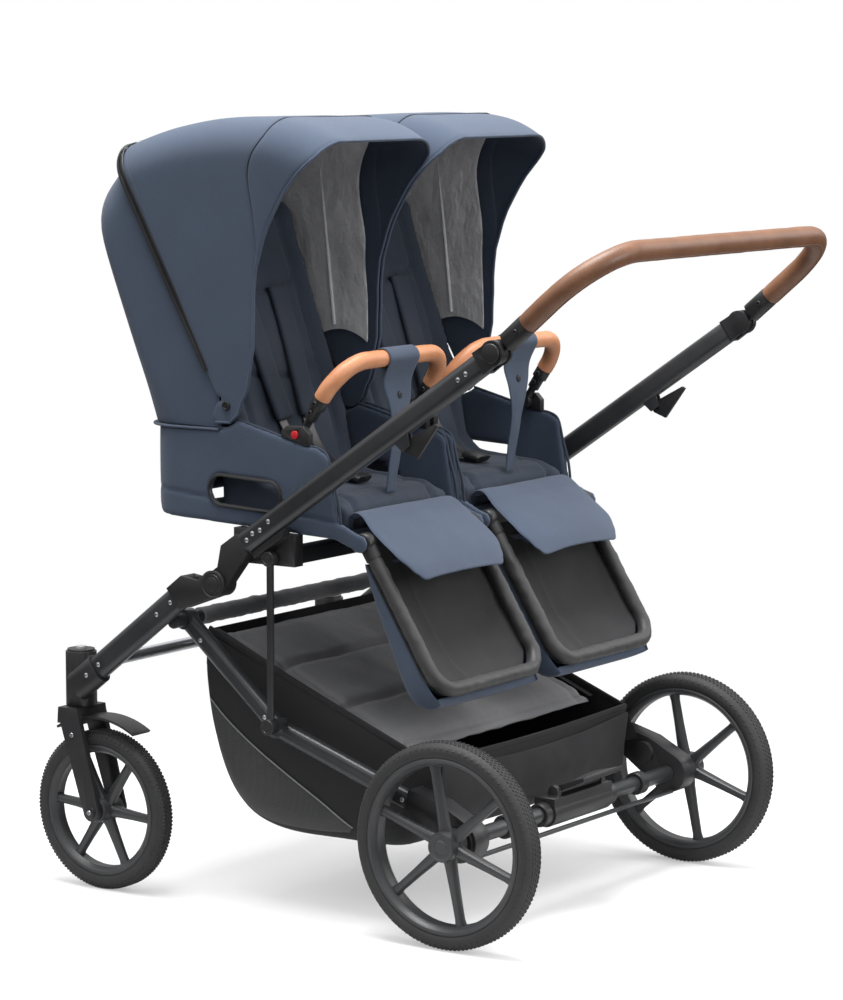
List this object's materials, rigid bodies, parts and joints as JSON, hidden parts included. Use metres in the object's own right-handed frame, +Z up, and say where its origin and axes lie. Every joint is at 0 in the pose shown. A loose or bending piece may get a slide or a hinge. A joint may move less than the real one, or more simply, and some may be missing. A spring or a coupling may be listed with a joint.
{
  "type": "twin pushchair",
  "caption": "Side-by-side twin pushchair with parent-facing seats, canopies, leg rests and bumper bars on a folding four-wheel frame with swivel front wheels, brake and basket",
  "frame": {"origin": "centre of the bounding box in plan, at the ground under the wheels", "axes": "+Z up; travel is toward -Y, the parent stands at +Y; +X is the left side of the pushchair"},
  "size_m": [0.8, 1.1241, 1.294],
  "materials": {
    "frame_tube": "satin dark anthracite powder coat",
    "bare_tube": "brushed aluminium tube",
    "casting": "moulded black plastic, fine grain",
    "wheel": "moulded dark grey plastic",
    "tyre": "foam-filled black tyre with diamond tread",
    "leather_grip": "stitched tan leather sleeve",
    "leather_bar": "stitched orange-tan leather sleeve",
    "shell_fabric": "slate blue woven fabric",
    "pad_fabric": "dark navy woven fabric, padded",
    "basket_fabric": "black fabric and mesh",
    "cover_fabric": "dark grey quilted fabric",
    "red_button": "red plastic",
    "grey_button": "light grey plastic"
  },
  "bodies": {
    "front_frame": {"front_legs": "frame_tube", "front_cross_tube": "bare_tube", "steering_heads": "casting", "fold_hinge_cheeks": "casting"},
    "push_frame": {"push_tubes": "frame_tube", "push_castings": "casting", "seat_brackets": "casting", "seat_cross_bar": "frame_tube", "handle_pivots": "casting"},
    "handle": {"handle_bar": "casting", "handle_grip": "leather_grip"},
    "strut_pair": {"struts": "frame_tube"},
    "rear_frame": {"rear_legs": "frame_tube", "rear_cross_tubes": "frame_tube", "axle_pods": "casting", "brake_housing": "casting", "basket": "basket_fabric", "basket_cover": "cover_fabric"},
    "brake_pedal": {"brake_pedal": "casting"},
    "caster_left": {"caster_fork_left": "casting"},
    "front_wheel_left": {"front_wheel_left": "wheel", "front_tyre_left": "tyre"},
    "rear_wheel_left": {"rear_wheel_left": "wheel", "rear_tyre_left": "tyre"},
    "swivel_lock_left": {"swivel_lock_left": "grey_button"},
    "handle_button_left": {"handle_button_left": "casting"},
    "fold_trigger_left": {"fold_trigger_left": "casting"},
    "seat_left": {"seat_hull_left": "shell_fabric", "seat_pad_left": "pad_fabric", "canopy_rear_left": "shell_fabric", "bumper_mounts_left": "casting"},
    "canopy_left": {"canopy_front_left": "shell_fabric"},
    "bumper_left": {"bumper_bar_left": "casting", "bumper_grip_left": "leather_bar", "crotch_strap_left": "shell_fabric"},
    "bumper_button_left_outer": {"bumper_button_left_outer": "red_button"},
    "bumper_button_left_inner": {"bumper_button_left_inner": "red_button"},
    "leg_rest_left": {"leg_frame_left": "casting", "leg_rest_left": "shell_fabric"},
    "caster_right": {"caster_fork_right": "casting"},
    "front_wheel_right": {"front_wheel_right": "wheel", "front_tyre_right": "tyre"},
    "rear_wheel_right": {"rear_wheel_right": "wheel", "rear_tyre_right": "tyre"},
    "swivel_lock_right": {"swivel_lock_right": "grey_button"},
    "handle_button_right": {"handle_button_right": "casting"},
    "fold_trigger_right": {"fold_trigger_right": "casting"},
    "seat_right": {"seat_hull_right": "shell_fabric", "seat_pad_right": "pad_fabric", "canopy_rear_right": "shell_fabric", "bumper_mounts_right": "casting"},
    "canopy_right": {"canopy_front_right": "shell_fabric"},
    "bumper_right": {"bumper_bar_right": "casting", "bumper_grip_right": "leather_bar", "crotch_strap_right": "shell_fabric"},
    "bumper_button_right_outer": {"bumper_button_right_outer": "red_button"},
    "bumper_button_right_inner": {"bumper_button_right_inner": "red_button"},
    "leg_rest_right": {"leg_frame_right": "casting", "leg_rest_right": "shell_fabric"}
  },
  "joints": [
    {"name": "fold", "type": "hinge", "parent": "front_frame", "child": "push_frame", "pos_m": [0, -0.166, 0.542], "axis": [1, 0, 0], "range_deg": [0, 62]},
    {"name": "rear_frame_fold", "type": "hinge", "parent": "front_frame", "child": "rear_frame", "pos_m": [0, -0.27, 0.468], "axis": [1, 0, 0], "range_deg": [0, 26.5]},
    {"name": "strut_fold", "type": "hinge", "parent": "push_frame", "child": "strut_pair", "pos_m": [0, -0.066, 0.589], "axis": [1, 0, 0], "range_deg": [-31.5, 0]},
    {"name": "handle_tilt", "type": "hinge", "parent": "push_frame", "child": "handle", "pos_m": [0, 0.36484, 0.93839], "axis": [1, 0, 0], "range_deg": [-50, 50]},
    {"name": "brake_pedal_press", "type": "hinge", "parent": "rear_frame", "child": "brake_pedal", "pos_m": [0, 0.279, 0.199], "axis": [1, 0, 0], "range_deg": [0, 18]},
    {"name": "caster_swivel_left", "type": "hinge", "parent": "front_frame", "child": "caster_left", "pos_m": [0.356, -0.475, 0.35], "axis": [0, 0, 1], "continuous": true},
    {"name": "front_wheel_spin_left", "type": "hinge", "parent": "caster_left", "child": "front_wheel_left", "pos_m": [0.356, -0.427, 0.135], "axis": [1, 0, 0], "continuous": true},
    {"name": "rear_wheel_spin_left", "type": "hinge", "parent": "rear_frame", "child": "rear_wheel_left", "pos_m": [0.3725, 0.273, 0.165], "axis": [1, 0, 0], "continuous": true},
    {"name": "swivel_lock_press_left", "type": "slide", "parent": "front_frame", "child": "swivel_lock_left", "axis": [0, 0, -1], "range_m": [0, 0.004], "stiffness_N_per_m": 300, "springref_m": -0.002},
    {"name": "handle_button_press_left", "type": "slide", "parent": "push_frame", "child": "handle_button_left", "axis": [-1, 0, 0], "range_m": [0, 0.002], "stiffness_N_per_m": 400, "springref_m": -0.002},
    {"name": "fold_trigger_pull_left", "type": "hinge", "parent": "push_frame", "child": "fold_trigger_left", "pos_m": [0.379, 0.19831, 0.78875], "axis": [1, 0, 0], "range_deg": [0, 8], "stiffness_Nm_per_rad": 0.6, "springref_deg": -17.19},
    {"name": "seat_lift_left", "type": "slide", "parent": "push_frame", "child": "seat_left", "axis": [0, 0, 1], "range_m": [0, 0.5]},
    {"name": "canopy_fold_left", "type": "hinge", "parent": "seat_left", "child": "canopy_left", "pos_m": [0.178, -0.186, 0.836], "axis": [1, 0, 0], "range_deg": [0, 50]},
    {"name": "bumper_tilt_left", "type": "hinge", "parent": "seat_left", "child": "bumper_left", "pos_m": [0.178, -0.035, 0.787], "axis": [1, 0, 0], "range_deg": [-35, 20], "deforming": ["crotch_strap_left"]},
    {"name": "bumper_button_press_left_outer", "type": "slide", "parent": "seat_left", "child": "bumper_button_left_outer", "axis": [-1, 0, 0], "range_m": [0, 0.002], "stiffness_N_per_m": 400, "springref_m": -0.002},
    {"name": "bumper_button_press_left_inner", "type": "slide", "parent": "seat_left", "child": "bumper_button_left_inner", "axis": [1, 0, 0], "range_m": [0, 0.002], "stiffness_N_per_m": 400, "springref_m": -0.002},
    {"name": "leg_rest_tilt_left", "type": "hinge", "parent": "seat_left", "child": "leg_rest_left", "pos_m": [0.178, 0.086, 0.621], "axis": [1, 0, 0], "range_deg": [0, 50]},
    {"name": "caster_swivel_right", "type": "hinge", "parent": "front_frame", "child": "caster_right", "pos_m": [-0.356, -0.475, 0.35], "axis": [0, 0, 1], "continuous": true},
    {"name": "front_wheel_spin_right", "type": "hinge", "parent": "caster_right", "child": "front_wheel_right", "pos_m": [-0.356, -0.427, 0.135], "axis": [1, 0, 0], "continuous": true},
    {"name": "rear_wheel_spin_right", "type": "hinge", "parent": "rear_frame", "child": "rear_wheel_right", "pos_m": [-0.3725, 0.273, 0.165], "axis": [1, 0, 0], "continuous": true},
    {"name": "swivel_lock_press_right", "type": "slide", "parent": "front_frame", "child": "swivel_lock_right", "axis": [0, 0, -1], "range_m": [0, 0.004], "stiffness_N_per_m": 300, "springref_m": -0.002},
    {"name": "handle_button_press_right", "type": "slide", "parent": "push_frame", "child": "handle_button_right", "axis": [1, 0, 0], "range_m": [0, 0.002], "stiffness_N_per_m": 400, "springref_m": -0.002},
    {"name": "fold_trigger_pull_right", "type": "hinge", "parent": "push_frame", "child": "fold_trigger_right", "pos_m": [-0.379, 0.19831, 0.78875], "axis": [1, 0, 0], "range_deg": [0, 8], "stiffness_Nm_per_rad": 0.6, "springref_deg": -17.19},
    {"name": "seat_lift_right", "type": "slide", "parent": "push_frame", "child": "seat_right", "axis": [0, 0, 1], "range_m": [0, 0.5]},
    {"name": "canopy_fold_right", "type": "hinge", "parent": "seat_right", "child": "canopy_right", "pos_m": [-0.178, -0.186, 0.836], "axis": [1, 0, 0], "range_deg": [0, 50]},
    {"name": "bumper_tilt_right", "type": "hinge", "parent": "seat_right", "child": "bumper_right", "pos_m": [-0.178, -0.035, 0.787], "axis": [1, 0, 0], "range_deg": [-35, 20], "deforming": ["crotch_strap_right"]},
    {"name": "bumper_button_press_right_outer", "type": "slide", "parent": "seat_right", "child": "bumper_button_right_outer", "axis": [1, 0, 0], "range_m": [0, 0.002], "stiffness_N_per_m": 400, "springref_m": -0.002},
    {"name": "bumper_button_press_right_inner", "type": "slide", "parent": "seat_right", "child": "bumper_button_right_inner", "axis": [-1, 0, 0], "range_m": [0, 0.002], "stiffness_N_per_m": 400, "springref_m": -0.002},
    {"name": "leg_rest_tilt_right", "type": "hinge", "parent": "seat_right", "child": "leg_rest_right", "pos_m": [-0.178, 0.086, 0.621], "axis": [1, 0, 0], "range_deg": [0, 50]}
  ],
  "couplings": [
    {"joint": "rear_frame_fold", "follows": "fold", "ratio": 0.42},
    {"joint": "strut_fold", "follows": "fold", "ratio": -0.5}
  ]
}
